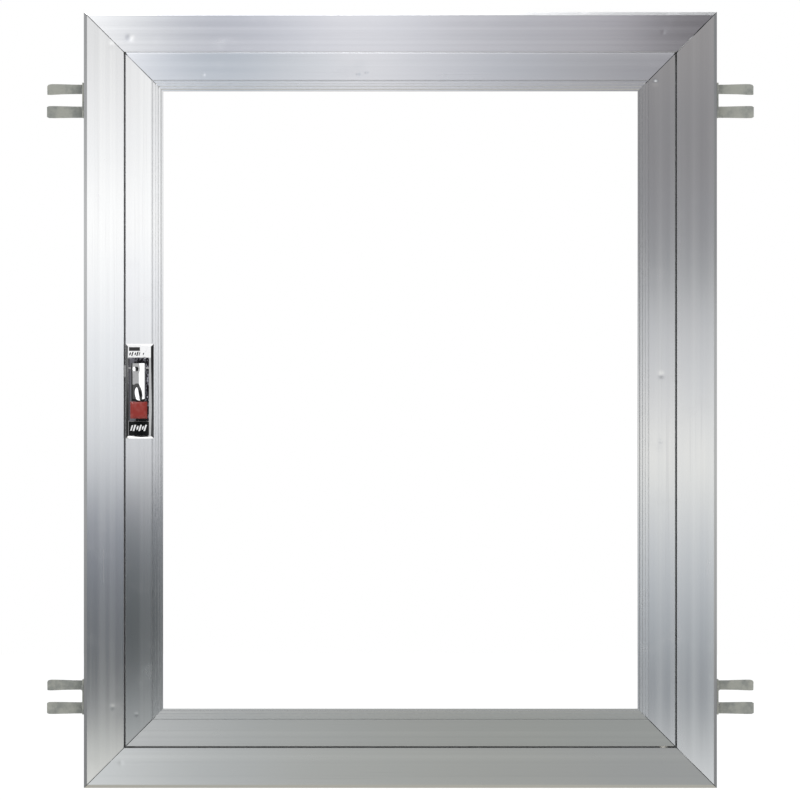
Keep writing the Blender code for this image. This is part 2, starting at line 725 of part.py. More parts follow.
def build_springs(pivot, steel):
    """The paddle's torsion spring round its pin, and the button's and the bolt's coil springs."""
    middle = LATCH_MIDDLE / MM
    axis = latch_place(middle + 2.6, PADDLE_AXIS_BACK / MM, PADDLE_AXIS_HEIGHT / MM)
    radius = 1.65 * MM
    points = coil(axis, (1, 0, 0), 3.25, 2.6 * MM, radius, 180, 10)
    points.insert(0, points[0] + Vector((0, 0, 3.2 * MM)))
    points.append(points[-1] + Vector((0, 4.6 * MM, 0)))
    wire("paddle_spring", points, 0.25 * MM, steel, axis, pivot)

    start = latch_place(middle, 1.3, BUTTON_HEIGHT / MM)
    points = coil(start, (0, 1, 0), 4, 4.7 * MM, 2.3 * MM, 0)
    wire("button_spring", points, 0.22 * MM, steel, start, pivot)

    start = latch_place(8.2, 9.7, 22.0)
    points = coil(start, (1, 0, 0), 9, 13.1 * MM, 1.3 * MM, 0)
    wire("bolt_spring", points, 0.22 * MM, steel, start, pivot)


def build_button(slide, red, steel):
    """Push button with a dished front, a spring pocket behind it and a retained stem."""
    middle = LATCH_MIDDLE / MM
    height = BUTTON_HEIGHT / MM
    half = BUTTON_HALF / MM
    dish = 0.5
    front = -1.5
    points = []
    for i in range(9):
        along = -1 + i / 4
        points.append((front + dish * (1 - along * along), height + half * along))
    points += [(3.2, height + half), (3.2, height - half)]
    outline = [(FRONT + v * MM, z * MM) for v, z in points]
    button = piece(
        "latch_button",
        prism(outline, "x", LATCH_X - BUTTON_HALF, LATCH_X + BUTTON_HALF),
        red, world_place(slide), slide,
    )
    soften(button, 0.5 * MM, 2)
    pocket = [(latch_place(middle, 0.7, height), latch_place(middle, 4, height))]
    cut(button, rods(pocket, 3.2 * MM, 20), "button_pocket_tool")
    stem = [(latch_place(middle, 0.2, height), latch_place(middle, 10.3, height))]
    join(button, rods(stem, STEM_RADIUS), "button_stem_tool")
    profile = [
        (0, STEM_RADIUS + FIT), (0, 3.3 * MM), (0.8 * MM, 3.3 * MM), (0.8 * MM, STEM_RADIUS + FIT),
    ]
    seat = latch_place(middle, 7.95, height)
    piece(
        "button_clip", turned(seat, (0, 1, 0), profile, 20, closed=True), steel, seat, slide,
        smooth=True,
    )


def build_bolt(slide, zinc):
    """Flat bolt with a tongue, an inclined slot for the paddle's tail and a spring notch."""
    outline = [
        (-6.3, 25.0), (-5.3, 24.0), (3.2, 24.0), (3.2, 18.5), (7.9, 18.5), (7.9, 24.4),
        (19.3, 24.4), (19.3, 37.6), (3.2, 37.6), (3.2, 36.0), (-5.3, 36.0), (-6.3, 35.0),
    ]
    points = [(DOOR_LEFT + u * MM, height * MM) for u, height in outline]
    bolt = piece(
        "latch_bolt", prism(points, "y", FRONT + BOLT_FRONT, FRONT + BOLT_BACK), zinc,
        world_place(slide), slide,
    )
    travel = BOLT_TRAVEL / MM
    middle = LATCH_MIDDLE / MM
    axis = PADDLE_AXIS_HEIGHT / MM
    slot = [
        (1.8, 1.6), (1.8, -1.7), (1.8 - travel, -7.0), (-1.8 - travel, -7.0),
        (-1.8 - travel, -2.8), (-1.8, 1.6),
    ]
    track = [(DOOR_LEFT + (middle + u) * MM, (axis + rise) * MM) for u, rise in slot]
    cut(bolt, prism(track, "y", FRONT + 7.5 * MM, FRONT + 12 * MM), "bolt_slot_tool")


# ---------------------------------------------------------------- assembly

def main():
    clear_scene()
    metal = material("extruded_aluminium", (0.68, 0.69, 0.71), 0.32, 1.0)
    cast = material("cast_aluminium", (0.52, 0.53, 0.54), 0.55, 1.0)
    zinc = material("galvanised_sheet", (0.42, 0.43, 0.40), 0.6, 1.0)
    steel = material("bright_steel", (0.6, 0.6, 0.61), 0.35, 1.0)
    chrome = material("chromed_zinc", (0.86, 0.87, 0.88), 0.06, 1.0)
    nylon = material("nylon", (0.82, 0.81, 0.76), 0.5, 0.0)
    red = material("red_plastic", (0.52, 0.07, 0.05), 0.35, 0.0)

    leaf = empty("door_axis", (PIVOT_X, PIVOT_Y, 0))
    paddle = empty("paddle_axis", (LATCH_X, FRONT + PADDLE_AXIS_BACK, PADDLE_AXIS_HEIGHT), leaf)
    button = empty("button_axis", (LATCH_X, FRONT, BUTTON_HEIGHT), leaf)
    bolt = empty("bolt_axis", (DOOR_LEFT, BOLT_CENTRE, BOLT_HEIGHT), leaf)

    build_surround(metal, cast, zinc, steel)
    build_leaf(leaf, metal, cast, nylon)
    build_latch_body(leaf, chrome)
    build_clamp(leaf, zinc, steel)
    build_paddle(paddle, chrome)
    build_paddle_pin(leaf, steel)
    build_springs(leaf, steel)
    build_button(button, red, steel)
    build_bolt(bolt, zinc)


main()
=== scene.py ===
import json
import math

import bmesh
import bpy
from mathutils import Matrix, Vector


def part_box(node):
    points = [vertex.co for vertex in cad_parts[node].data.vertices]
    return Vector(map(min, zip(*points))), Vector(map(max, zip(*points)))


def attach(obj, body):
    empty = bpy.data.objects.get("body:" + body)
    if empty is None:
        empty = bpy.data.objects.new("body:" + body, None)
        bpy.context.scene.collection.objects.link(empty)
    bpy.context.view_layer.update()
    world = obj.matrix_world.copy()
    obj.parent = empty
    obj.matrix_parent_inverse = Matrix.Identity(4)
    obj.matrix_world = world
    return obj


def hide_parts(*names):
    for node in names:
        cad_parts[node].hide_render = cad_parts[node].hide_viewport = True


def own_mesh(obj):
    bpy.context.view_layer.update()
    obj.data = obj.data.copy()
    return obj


# The looks of a wall cabinet door frame: a surround and a leaf of mitred bars, with a paddle latch
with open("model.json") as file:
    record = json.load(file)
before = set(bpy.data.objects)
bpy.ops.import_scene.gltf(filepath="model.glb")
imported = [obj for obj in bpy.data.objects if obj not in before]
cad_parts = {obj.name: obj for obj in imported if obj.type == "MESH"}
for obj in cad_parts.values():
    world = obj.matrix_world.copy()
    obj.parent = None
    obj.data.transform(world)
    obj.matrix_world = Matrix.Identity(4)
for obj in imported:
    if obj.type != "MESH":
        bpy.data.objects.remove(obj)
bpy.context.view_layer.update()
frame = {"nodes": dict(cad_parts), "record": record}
NODES = frame["nodes"]
MM = 0.001

BODY_OF = {
    node: body
    for body, members in frame["record"]["behaviour"]["bodies"].items()
    for node in members
}
SLOT_OF = {row["node"]: row["material_slot"] for row in frame["record"]["subparts"]}


# ---------------------------------------------------------------- places from the frame

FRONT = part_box("surround_left_stile")[0].y
HALF_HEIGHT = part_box("surround_top_rail")[1].z
LEAF_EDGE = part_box("door_left_stile")[0].x
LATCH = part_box("latch_body")


# ---------------------------------------------------------------- camera

CAMERA_X = -0.0004
CAMERA_DISTANCE = 6.0
VIEW_WIDTH = 0.8244
SENSOR = 36.0


def make_camera():
    camera = bpy.data.cameras.new("camera")
    camera.sensor_width = SENSOR
    camera.lens = SENSOR * CAMERA_DISTANCE / VIEW_WIDTH
    camera.clip_end = 100
    obj = bpy.data.objects.new("camera", camera)
    bpy.context.scene.collection.objects.link(obj)
    obj.location = (CAMERA_X, FRONT - CAMERA_DISTANCE, 0)
    obj.rotation_euler = (math.pi / 2, 0, 0)
    bpy.context.scene.camera = obj


# ---------------------------------------------------------------- node helpers

# The Mix node's sockets for colours, which share their names with those for numbers
MIX_A, MIX_B, MIX_RESULT = 6, 7, 2


class Graph:
    """A short way to add and link shader nodes."""

    def __init__(self, tree):
        self.tree = tree

    def add(self, kind, **settings):
        node = self.tree.nodes.new(kind)
        for name, value in settings.items():
            setattr(node, name, value)
        return node

    def link(self, source, target):
        self.tree.links.new(source, target)

    def fill(self, socket, value):
        """Link a socket to another, or give it a value."""
        if isinstance(value, bpy.types.NodeSocket):
            self.link(value, socket)
        else:
            socket.default_value = value

    def math(self, operation, a, b=0.0, clamp=False):
        """One step of arithmetic on sockets or numbers."""
        node = self.add("ShaderNodeMath", operation=operation, use_clamp=clamp)
        self.fill(node.inputs[0], a)
        self.fill(node.inputs[1], b)
        return node.outputs[0]

    def smooth(self, value, low, high, to_low=0.0, to_high=1.0):
        """A smooth step from to_low to to_high as the value goes from low to high."""
        node = self.add("ShaderNodeMapRange", interpolation_type="SMOOTHSTEP")
        self.fill(node.inputs["Value"], value)
        node.inputs["From Min"].default_value = low
        node.inputs["From Max"].default_value = high
        node.inputs["To Min"].default_value = to_low
        node.inputs["To Max"].default_value = to_high
        return node.outputs["Result"]

    def mix(self, factor, a, b):
        """Colour a at a factor of 0 and colour b at 1."""
        node = self.add("ShaderNodeMix", data_type="RGBA")
        self.fill(node.inputs["Factor"], factor)
        self.fill(node.inputs[MIX_A], a)
        self.fill(node.inputs[MIX_B], b)
        return node.outputs[MIX_RESULT]

    def noise(self, vector, scale, detail=2.0, roughness=0.5):
        node = self.add("ShaderNodeTexNoise")
        self.link(vector, node.inputs["Vector"])
        node.inputs["Scale"].default_value = scale
        node.inputs["Detail"].default_value = detail
        node.inputs["Roughness"].default_value = roughness
        return node.outputs["Fac"]

    def stretched(self, scale):
        """Object coordinates scaled by a different number along each axis."""
        place = self.add("ShaderNodeTexCoord").outputs["Object"]
        node = self.add("ShaderNodeMapping")
        self.link(place, node.inputs["Vector"])
        node.inputs["Scale"].default_value = scale
        return node.outputs["Vector"]

    def bump(self, height, strength, distance):
        node = self.add("ShaderNodeBump")
        node.inputs["Strength"].default_value = strength
        node.inputs["Distance"].default_value = distance
        self.link(height, node.inputs["Height"])
        return node.outputs["Normal"]


def new_material(name):
    """A material, its graph and its Principled shader."""
    made = bpy.data.materials.new(name)
    made.use_nodes = True
    tree = made.node_tree
    return made, Graph(tree), tree.nodes["Principled BSDF"]


# ---------------------------------------------------------------- materials

# How much slower the die lines and the scratches change along a bar than across it
LONG_RUN = 0.0002
SHORT_RUN = 0.01


def extruded_aluminium(name, along):
    """Satin mill finish with straight die lines that run the length of the bar."""
    made, graph, shader = new_material(name)

    def lines(scale, detail, run=LONG_RUN):
        stretch = (run, 1, 1) if along == "X" else (1, 1, run)
        return graph.noise(graph.stretched(stretch), scale, detail)

    bands = graph.smooth(lines(110, 0), 0.25, 0.75)
    pitch = graph.smooth(lines(420, 1), 0.3, 0.7)
    fine = lines(900, 0)
    scratch = graph.smooth(lines(700, 0, SHORT_RUN), 0.72, 0.85)
    place = graph.stretched((1, 1, 1))
    handled = graph.smooth(graph.noise(place, 9, 3), 0.4, 0.7)
    smear = graph.smooth(graph.noise(place, 34, 5, 0.6), 0.52, 0.78)
    tone = graph.mix(bands, (0.86, 0.865, 0.875, 1), (0.92, 0.925, 0.93, 1))
    tone = graph.mix(graph.math("MULTIPLY", pitch, 0.4), tone, (0.82, 0.825, 0.835, 1))
    tone = graph.mix(graph.math("MULTIPLY", handled, 0.3), tone, (0.84, 0.86, 0.89, 1))
    tone = graph.mix(graph.math("MULTIPLY", scratch, 0.15), tone, (0.70, 0.70, 0.71, 1))
    graph.link(tone, shader.inputs["Base Color"])
    rough = graph.math("ADD", graph.smooth(bands, 0, 1, 0.20, 0.24), graph.math("MULTIPLY", smear, 0.05))
    rough = graph.math("ADD", rough, graph.math("MULTIPLY", scratch, 0.04))
    graph.link(rough, shader.inputs["Roughness"])
    shader.inputs["Metallic"].default_value = 1.0
    shader.inputs["Anisotropic"].default_value = 0.5
    direction = graph.add("ShaderNodeVectorTransform", vector_type="VECTOR",
                          convert_from="OBJECT", convert_to="WORLD")
    direction.inputs[0].default_value = (0, 0, 1) if along == "X" else (1, 0, 0)
    graph.link(direction.outputs[0], shader.inputs["Tangent"])
    height = graph.math("ADD", graph.math("MULTIPLY", pitch, 0.7), graph.math("MULTIPLY", fine, 0.3))
    graph.link(graph.bump(height, 0.03, 0.00006), shader.inputs["Normal"])
    return made


def dull_oxide_and_painted_shade():
    """The unpolished, slightly oxidised inside of the extrusions, darker than the bars' faces: partly that
    oxide, partly painted shade in the gaps between the bars.
    """
    made, graph, shader = new_material("dull_oxide_and_painted_shade_skin")
    place = graph.stretched((1, 1, 1))
    cloud = graph.noise(place, 26, 4, 0.6)
    speck = graph.smooth(graph.noise(place, 900, 3, 0.7), 0.55, 0.8)
    # Darker than the bars' faces: partly the dull oxide of the inside, partly painted shade that darkens the
    # slots between the bars
    tone = graph.mix(cloud, (0.50, 0.505, 0.50, 1), (0.66, 0.665, 0.67, 1))
    graph.link(graph.mix(graph.math("MULTIPLY", speck, 0.5), tone, (0.42, 0.42, 0.40, 1)),
               shader.inputs["Base Color"])
    graph.link(graph.smooth(cloud, 0.3, 0.7, 0.36, 0.46), shader.inputs["Roughness"])
    shader.inputs["Metallic"].default_value = 1.0
    graph.link(graph.bump(speck, 0.1, 0.0001), shader.inputs["Normal"])
    return made


def cast_aluminium():
    """Grainy, clouded die casting."""
    made, graph, shader = new_material("cast_aluminium_skin")
    place = graph.stretched((1, 1, 1))
    grain = graph.noise(place, 1400, 3)
    cloud = graph.noise(place, 60, 3)
    graph.link(graph.mix(cloud, (0.42, 0.43, 0.44, 1), (0.60, 0.61, 0.62, 1)),
               shader.inputs["Base Color"])
    graph.link(graph.smooth(cloud, 0.3, 0.7, 0.45, 0.6), shader.inputs["Roughness"])
    shader.inputs["Metallic"].default_value = 1.0
    graph.link(graph.bump(grain, 0.35, 0.00015), shader.inputs["Normal"])
    return made


def galvanised_sheet():
    """Dull zinc with faint spangles and grey-green stains."""
    made, graph, shader = new_material("galvanised_sheet_skin")
    place = graph.stretched((1, 1, 1))
    spangle = graph.add("ShaderNodeTexVoronoi")
    graph.link(place, spangle.inputs["Vector"])
    spangle.inputs["Scale"].default_value = 420
    flake = graph.math("MULTIPLY", spangle.outputs["Distance"], 1.2, clamp=True)
    stain = graph.smooth(graph.noise(place, 75, 5, 0.6), 0.38, 0.66)
    drag = graph.noise(graph.stretched((0.08, 1, 1)), 900, 3)
    base = graph.mix(stain, (0.50, 0.51, 0.45, 1), (0.33, 0.35, 0.33, 1))
    base = graph.mix(graph.math("MULTIPLY", flake, 0.3), base, (0.58, 0.585, 0.55, 1))
    graph.link(graph.mix(graph.math("MULTIPLY", drag, 0.35), base, (0.29, 0.30, 0.29, 1)),
               shader.inputs["Base Color"])
    graph.link(graph.smooth(stain, 0, 1, 0.48, 0.66), shader.inputs["Roughness"])
    shader.inputs["Metallic"].default_value = 0.6
    height = graph.math("ADD", drag, graph.math("MULTIPLY", flake, 0.4))
    graph.link(graph.bump(height, 0.4, 0.00015), shader.inputs["Normal"])
    return made


def zinc_plate():
    """Plated sheet with fine rolling lines and slightly yellow clouds."""
    made, graph, shader = new_material("zinc_plate_skin")
    place = graph.stretched((1, 1, 1))
    cloud = graph.noise(place, 90, 4)
    roll = graph.noise(graph.stretched((1, 1, 0.03)), 1600, 2)
    graph.link(graph.mix(cloud, (0.62, 0.62, 0.57, 1), (0.72, 0.72, 0.74, 1)),
               shader.inputs["Base Color"])
    graph.link(graph.smooth(roll, 0.3, 0.7, 0.3, 0.42), shader.inputs["Roughness"])
    shader.inputs["Metallic"].default_value = 1.0
    graph.link(graph.bump(roll, 0.15, 0.00008), shader.inputs["Normal"])
    return made


def bright_steel():
    """Drawn or turned steel with fine marks."""
    made, graph, shader = new_material("bright_steel_skin")
    place = graph.stretched((1, 1, 1))
    turn = graph.noise(graph.stretched((1, 0.05, 1)), 2600, 2)
    cloud = graph.noise(place, 160, 3)
    graph.link(graph.mix(cloud, (0.58, 0.58, 0.58, 1), (0.72, 0.72, 0.73, 1)),
               shader.inputs["Base Color"])
    graph.link(graph.smooth(turn, 0.3, 0.7, 0.22, 0.38), shader.inputs["Roughness"])
    shader.inputs["Metallic"].default_value = 1.0
    graph.link(graph.bump(turn, 0.1, 0.00005), shader.inputs["Normal"])
    return made


HAZE_DULLING = 0.88


def chrome(name, tint, wave_height, haze_rough):
    """Bright plate over a slightly wavy casting, with faint handling haze."""
    made, graph, shader = new_material(name)
    place = graph.stretched((1, 1, 1))
    wave = graph.noise(place, 170, 2)
    haze = graph.smooth(graph.noise(place, 420, 5, 0.65), 0.45, 0.75)
    dull = tuple(HAZE_DULLING * part for part in tint)
    graph.link(graph.mix(haze, (*tint, 1), (*dull, 1)), shader.inputs["Base Color"])
    graph.link(graph.smooth(haze, 0, 1, 0.03, haze_rough), shader.inputs["Roughness"])
    shader.inputs["Metallic"].default_value = 1.0
    graph.link(graph.bump(wave, 0.2, wave_height), shader.inputs["Normal"])
    return made


def dark_print_and_painted_reflection():
    """Glossy black, finely dimpled and dusty: a painted dark reflection on the latch's two fields, and dark
    print in its upper strokes.
    """
    made, graph, shader = new_material("dark_print_and_painted_reflection_skin")
    place = graph.stretched((1, 1, 1))
    dust = graph.smooth(graph.noise(place, 700, 4, 0.7), 0.5, 0.8)
    dimple = graph.noise(place, 900, 2)
    graph.link(graph.mix(dust, (0.006, 0.007, 0.008, 1), (0.03, 0.032, 0.034, 1)),
               shader.inputs["Base Color"])
    graph.link(graph.smooth(dust, 0, 1, 0.16, 0.4), shader.inputs["Roughness"])
    graph.link(graph.bump(dimple, 0.2, 0.00006), shader.inputs["Normal"])
    return made


def nylon():
    """Natural nylon, slightly clouded."""
    made, graph, shader = new_material("nylon_skin")
    cloud = graph.noise(graph.stretched((1, 1, 1)), 300, 3)
    graph.link(graph.mix(cloud, (0.76, 0.74, 0.66, 1), (0.85, 0.83, 0.77, 1)),
               shader.inputs["Base Color"])
    graph.link(graph.smooth(cloud, 0.3, 0.7, 0.4, 0.5), shader.inputs["Roughness"])
    graph.link(graph.bump(cloud, 0.1, 0.0001), shader.inputs["Normal"])
    return made


def red_plastic():
    """Moulded button with a fine texture, worn a little duller on its face."""
    made, graph, shader = new_material("red_plastic_skin")
    place = graph.stretched((1, 1, 1))
    grain = graph.noise(place, 2600, 2)
    wear = graph.smooth(graph.noise(place, 240, 4), 0.4, 0.7)
    graph.link(graph.mix(wear, (0.33, 0.045, 0.038, 1), (0.38, 0.075, 0.065, 1)),
               shader.inputs["Base Color"])
    graph.link(graph.smooth(wear, 0, 1, 0.3, 0.42), shader.inputs["Roughness"])
    graph.link(graph.bump(grain, 0.15, 0.00005), shader.inputs["Normal"])
    return made


# ---------------------------------------------------------------- finishing the frame's own parts

# Corners closer than MERGE are joined, and a cut that passes a corner within CUT_MERGE goes through it
MERGE = 0.000002
CUT_MERGE = 0.000001
# Edges sharper than this are broken, by the width that is given for each kind of piece
EDGE_ANGLE = math.radians(32)
PART_EDGE = 0.12 * MM
FORMED_EDGE = 0.1 * MM
FIELD_EDGE = 0.06 * MM
SIGN_EDGE = 0.08 * MM
SPRING_EDGE = 0.04 * MM


def dress(obj, finish, edge):
    """Give an object its finish and slightly broken edges."""
    mesh = obj.data
    if "custom_normal" in mesh.attributes:
        mesh.attributes.remove(mesh.attributes["custom_normal"])
    mesh.materials.clear()
    mesh.materials.append(finish)
    mesh.shade_smooth()
    weld = obj.modifiers.new("weld", "WELD")
    weld.merge_threshold = MERGE
    bevel = obj.modifiers.new("broken_edges", "BEVEL")
    bevel.width = edge
    bevel.segments = 2
    bevel.limit_method = "ANGLE"
    bevel.angle_limit = EDGE_ANGLE
    bevel.harden_normals = True


def welded_copy(name):
    """A bmesh of a node with its shared corners joined."""
    bm = bmesh.new()
    bm.from_mesh(NODES[name].data)
    bmesh.ops.remove_doubles(bm, verts=bm.verts, dist=MERGE)
    return bm


def stand_in(name, bm, finish, edge):
    """Replace a node by a changed copy of it."""
    mesh = bpy.data.meshes.new(name + "_fine")
    bm.to_mesh(mesh)
    bm.free()
    made = bpy.data.objects.new(name + "_fine", mesh)
    bpy.context.scene.collection.objects.link(made)
    dress(made, finish, edge)
    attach(made, BODY_OF[name])
    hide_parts(name)
    return made


# Springs: node, joint, axis, fixed end and the share of the length left at the limit
SPRINGS = (
    ("button_spring", "button_press", (0, 1, 0), (0, -0.0187, 0), 0.36),
    ("bolt_spring", "bolt_slide", (1, 0, 0), (-0.2617, 0, 0), 0.515),
)


def shortening_spring(name, joint, axis, fixed_end, keep, finish):
    """A copy of a spring, dressed in the given finish and given its own mesh."""
    spring = stand_in(name, welded_copy(name), finish, SPRING_EDGE)
    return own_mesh(spring)


# Marks on the bars: node, place across and up in metres, radius and depth in millimetres
DENTS = (
    ("surround_top_rail", -0.2790, 0.3733, 5.5, 0.17),
    ("surround_top_rail", 0.2710, 0.3790, 3.5, 0.05),
    ("surround_left_stile", -0.2976, 0.3655, 5.0, 0.30),
    ("surround_left_stile", -0.2966, -0.3165, 4.0, 0.07),
    ("surround_bottom_rail", -0.2880, -0.3740, 4.0, 0.12),
    ("door_left_stile", -0.2720, -0.3240, 3.0, 0.05),
    ("door_right_stile", 0.2687, 0.0257, 5.0, 0.25),
    ("door_right_stile", 0.2677, -0.0423, 4.0, 0.14),
    ("door_right_stile", 0.2630, 0.3270, 4.0, 0.70),
    ("door_top_rail", -0.2030, 0.3350, 2.6, 0.14),
    ("door_top_rail", -0.0437, 0.3357, 3.0, 0.20),
    ("door_top_rail", -0.0349, 0.3372, 2.6, 0.16),
    ("door_bead_right", 0.2440, -0.0600, 4.0, 0.60),
)
# How far out a dent is cut and moved, in radii, how fast it fades, and the cuts each side of its middle
DENT_REACH = 1.3
DENT_SPREAD = 3.2
DENT_CUTS = 6
# What lies further behind the front face than this isn't dented
DENT_DEPTH = 1.3 * MM
BAR_EDGE = 0.15 * MM
# A mitred end grows by SEAM_FILL behind the skin, and its front edge draws back to open the seam,
# more widely at the surround's upper right corner
SEAM_FILL = 0.24 * MM
SEAM_OPEN = 0.2 * MM
WIDE_SEAM_OPEN = 0.45 * MM
# The wall behind the bars' front face
WALL = 1.4 * MM
# What lies further behind the front face than this is inside the bar
INSIDE_DEPTH = 4 * MM
# The leaf's rolled upper edge: how far in from the corner it starts, and how far up it stands
ROLL_REACH = 1.1 * MM
ROLL_RISE = 1.25 * MM
ROLL_SEGMENTS = 4
# Tolerances of a face's normal and of a vertex's place
FACING_NEAR = 0.02
PLACE_NEAR = 0.01 * MM
# Endings of the names of the bars that run along X; the others run along Z
ACROSS = ("rail", "top", "bottom")


def oxide_and_shade_inside(name, mesh, inside):
    """Give the bar's inner walls a dull, darker finish that is partly painted shade, but not its outermost
    sides or its back edge.
    """
    mesh.materials.append(inside)
    low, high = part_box(name)
    margin = 0.5 * MM
    axis = 2 if name.endswith(ACROSS) else 0
    for face in mesh.polygons:
        place = face.center
        on_side = place[axis] < low[axis] + margin or place[axis] > high[axis] - margin
        depth = place.y - FRONT
        behind_skin = depth > INSIDE_DEPTH or (face.normal.y > 0.5 and depth > WALL / 2)
        # Faces behind the skin take the darker finish: painted shade in the slots and hollows, besides dull
        # oxide
        if behind_skin and not on_side and place.y < high.y - margin:
            face.material_index = 1


def worn_bar(name, finish, inside):
    """A copy of a bar with its dents pressed into the front face and a dull finish inside, darkened as
    painted shade.
    """
    bm = welded_copy(name)
    dents = [row for row in DENTS if row[0] == name]
    for _, x, z, radius, _ in dents:
        for axis, middle in ((Vector((1, 0, 0)), x), (Vector((0, 0, 1)), z)):
            for step in range(-DENT_CUTS, DENT_CUTS + 1):
                geometry = bm.verts[:] + bm.edges[:] + bm.faces[:]
                point = axis * (middle + step * radius * DENT_REACH * MM / DENT_CUTS)
                bmesh.ops.bisect_plane(bm, geom=geometry, plane_co=point, plane_no=axis, dist=CUT_MERGE)
    for vert in bm.verts:
        if vert.co.y > FRONT + DENT_DEPTH:
            continue
        for _, x, z, radius, depth in dents:
            away = math.hypot(vert.co.x - x, vert.co.z - z) / (radius * MM)
            if away < DENT_REACH:
                vert.co.y += depth * MM * math.exp(-DENT_SPREAD * away * away)
    close_mitres(bm, name)
    if name == "door_top_rail":
        roll_outer_edge(bm)
    made = stand_in(name, bm, finish, BAR_EDGE)
    oxide_and_shade_inside(name, made.data, inside)
    return made


def close_mitres(bm, name):
    """Bring the bar's mitred ends almost together behind the skin and leave a fine groove in front."""
    axis = 0 if name.endswith(ACROSS) else 2
    ends = [vert.co[axis] for vert in bm.verts]
    middle = (min(ends) + max(ends)) / 2
    for face in bm.faces:
        slope = abs(face.normal[axis])
        if abs(slope - math.sqrt(0.5)) < FACING_NEAR and abs(face.normal.y) < FACING_NEAR:
            for vert in face.verts:
                vert.tag = True
    for vert in bm.verts:
        if vert.tag:
            outward = math.copysign(1, vert.co[axis] - middle)
            worn = name.startswith("surround") and vert.co.x > 0 and vert.co.z > 0
            groove = WIDE_SEAM_OPEN if worn else SEAM_OPEN
            vert.co[axis] += outward * (-groove if vert.co.y < FRONT + WALL / 2 else SEAM_FILL)


def roll_outer_edge(bm):
    """Roll the leaf's upper front edge out into the gap above it, where it catches the light."""
    crest = max(vert.co.z for vert in bm.verts) - PLACE_NEAR
    front = min(vert.co.y for vert in bm.verts) + PLACE_NEAR
    corner = [e for e in bm.edges if all(v.co.z > crest and v.co.y < front for v in e.verts)]
    bmesh.ops.bevel(bm, geom=corner, offset=ROLL_REACH, segments=ROLL_SEGMENTS, profile=0.5, affect="EDGES")
    for vert in bm.verts:
        share = (vert.co.z - (crest - ROLL_REACH)) / ROLL_REACH
        if vert.co.y < front + ROLL_REACH and share > 0:
            vert.co.z += ROLL_RISE * share


# ---------------------------------------------------------------- latch

def latch_place(u, v, height):
    """World place from millimetres across the leaf, back from the bars' front face and up."""
    return Vector((LEAF_EDGE + u * MM, FRONT + v * MM, height * MM))


def block(low, high):
    """A box between two corners."""
    bm = bmesh.new()
    bmesh.ops.create_cube(bm, size=1)
    middle = (low + high) / 2
    for vert in bm.verts:
        vert.co = Vector([m + c * (h - l) for m, c, h, l in zip(middle, vert.co, high, low)])
    return bm


def apply_boolean(bm, tool, operation):
    """Cut a bmesh by another, or join the two, and give back the result."""
    objects = []
    for shape in (bm, tool):
        mesh = bpy.data.meshes.new("boolean_scratch")
        shape.to_mesh(mesh)
        shape.free()
        obj = bpy.data.objects.new("boolean_scratch", mesh)
        bpy.context.scene.collection.objects.link(obj)
        objects.append(obj)
    modifier = objects[0].modifiers.new("boolean", "BOOLEAN")
    modifier.operation = operation
    modifier.solver = "EXACT"
    modifier.object = objects[1]
    depsgraph = bpy.context.evaluated_depsgraph_get()
    evaluated = objects[0].evaluated_get(depsgraph)
    result = bmesh.new()
    result.from_mesh(evaluated.to_mesh())
    evaluated.to_mesh_clear()
    for obj in objects:
        bpy.data.objects.remove(obj, do_unlink=True)
    return result


def new_piece(name, bm, finish, body, edge=0.0):
    """Add a piece that no CAD node stands for, with broken edges if an edge is given."""
    bmesh.ops.recalc_face_normals(bm, faces=bm.faces)
    mesh = bpy.data.meshes.new(name)
    bm.to_mesh(mesh)
    bm.free()
    made = bpy.data.objects.new(name, mesh)
    bpy.context.scene.collection.objects.link(made)
    if edge:
        dress(made, finish, edge)
    else:
        mesh.materials.append(finish)
    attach(made, body)
    return made


# In millimetres: the depth of the fields and of the inlaid strokes, the thickness of the raised ones,
# the clearance of what fills a hollow, and how far the cutters stand ahead of the face
PAD_DEPTH = 0.35
SIGN_DEPTH = 0.2
SIGN_RISE = 0.3
CLEAR = 0.05
AHEAD = 1
# The two black fields, a painted dark reflection, and the pan behind the paddle and the button, whose darker
# chrome is painted shade: left, right, low and high
LOWER_PAD = (3.5, 24.3, -36.5, -22.2)
UPPER_BAND = (3.7, 15.0, 50.6, 54.4)
PAN = (2.9, 24.5, -21.9, 43.9)
# How far behind the bezel's face the pan starts, and how far behind the bars' face it ends
PAN_START, PAN_END = 0.5, 6.9
LOWER_SIGNS_HEIGHT = sum(LOWER_PAD[2:]) / 2 + 0.6
UPPER_SIGNS_HEIGHT = 47.5
# Rows of strokes: outline, place across and size
LOWER_SIGNS = (("bar", 6.5, 5.6), ("bar", 9.3, 6.4), ("drop", 12.4, 5.6), ("bar", 15.2, 6.4),
               ("drop", 17.9, 5.2), ("bar", 20.4, 6.4))
UPPER_SIGNS = (("drop", 4.8, 4.0), ("bar", 7.2, 4.2), ("drop", 10.2, 3.6), ("bar", 12.4, 4.2),
               ("bar", 14.4, 3.2), ("drop", 18.6, 3.0))
# A stroke's corners in shares of its size
SIGN_OUTLINES = {
    "bar": ((-0.30, -0.5), (-0.02, -0.5), (0.30, 0.5), (0.02, 0.5)),
    "drop": ((-0.18, -0.45), (0.12, -0.2), (0.24, 0.25), (0.10, 0.45), (-0.16, 0.1)),
}


def signs(row, height, front, back):
    """Plain slanted strokes between two depths of the latch's face."""
    bm = bmesh.new()
    for shape, u, size in row:
        rings = []
        for v in (front, back):
            outline = SIGN_OUTLINES[shape]
            rings.append([bm.verts.new(latch_place(u + a * size, v, height + b * size)) for a, b in outline])
        bm.faces.new(rings[0])
        bm.faces.new(rings[1])
        for i in range(len(rings[0])):
            j = (i + 1) % len(rings[0])
            bm.faces.new((rings[0][i], rings[0][j], rings[1][j], rings[1][i]))
    bmesh.ops.recalc_face_normals(bm, faces=bm.faces)
    return bm


